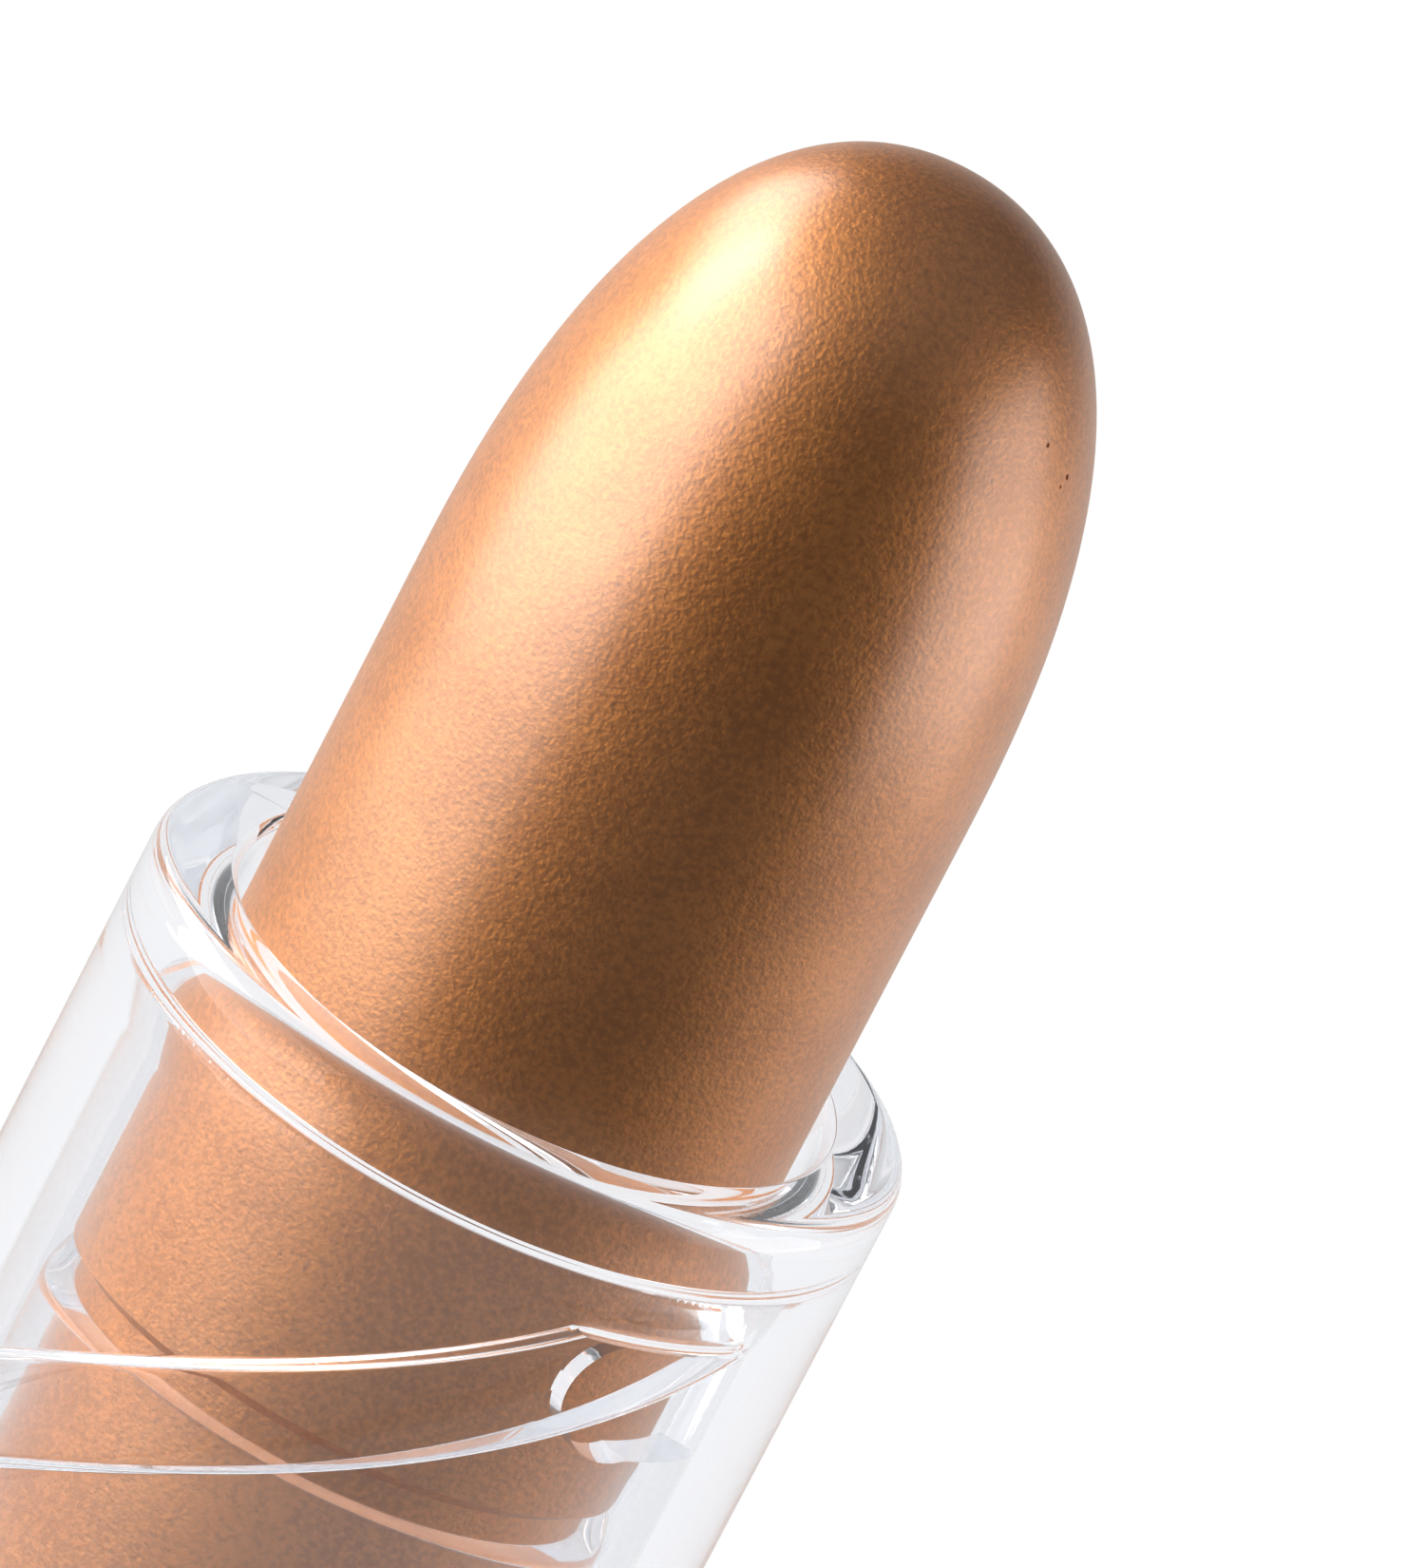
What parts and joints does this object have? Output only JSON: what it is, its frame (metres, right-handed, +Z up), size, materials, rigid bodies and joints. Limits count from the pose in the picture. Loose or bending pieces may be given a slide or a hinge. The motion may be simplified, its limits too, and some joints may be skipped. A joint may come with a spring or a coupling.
{
  "type": "lipstick case",
  "caption": "Clear twist-up lipstick case: a cam sleeve turned on its base winds a cup with a metallic bronze bullet up and down a slotted guide tube.",
  "frame": {"origin": "middle of the foot, on the surface that the case stands on", "axes": "+Z up along the axis of the bullet and of the sleeve's turn, -Y towards the side that the picture shows"},
  "size_m": [0.02, 0.02, 0.0664],
  "materials": {
    "clear_shell": "polished clear moulding",
    "label_film": "blank white film",
    "clear_liner": "polished clear moulding",
    "clear_guide": "clear moulding",
    "silicone": "translucent silicone",
    "clear_sleeve": "polished clear moulding",
    "clear_cup": "clear moulding",
    "bronze_bullet": "satin wax with fine metallic bronze pearl"
  },
  "bodies": {
    "base": {"base_shell": "clear_shell", "shade_label": "label_film", "base_liner": "clear_liner", "guide_tube": "clear_guide", "brake_ring": "silicone"},
    "sleeve": {"cam_sleeve": "clear_sleeve"},
    "cup": {"cup": "clear_cup", "bullet": "bronze_bullet"}
  },
  "joints": [
    {"name": "sleeve_turn", "type": "hinge", "parent": "base", "child": "sleeve", "pos_m": [0, 0, 0], "axis": [0, 0, 1], "range_deg": [-127.7, 248.1]},
    {"name": "cup_lift", "type": "slide", "parent": "base", "child": "cup", "axis": [0, 0, 1], "range_m": [-0.021, 0.0108]}
  ],
  "couplings": [
    {"joint": "sleeve_turn", "follows": "cup_lift", "rad_per_m": -206.01}
  ]
}
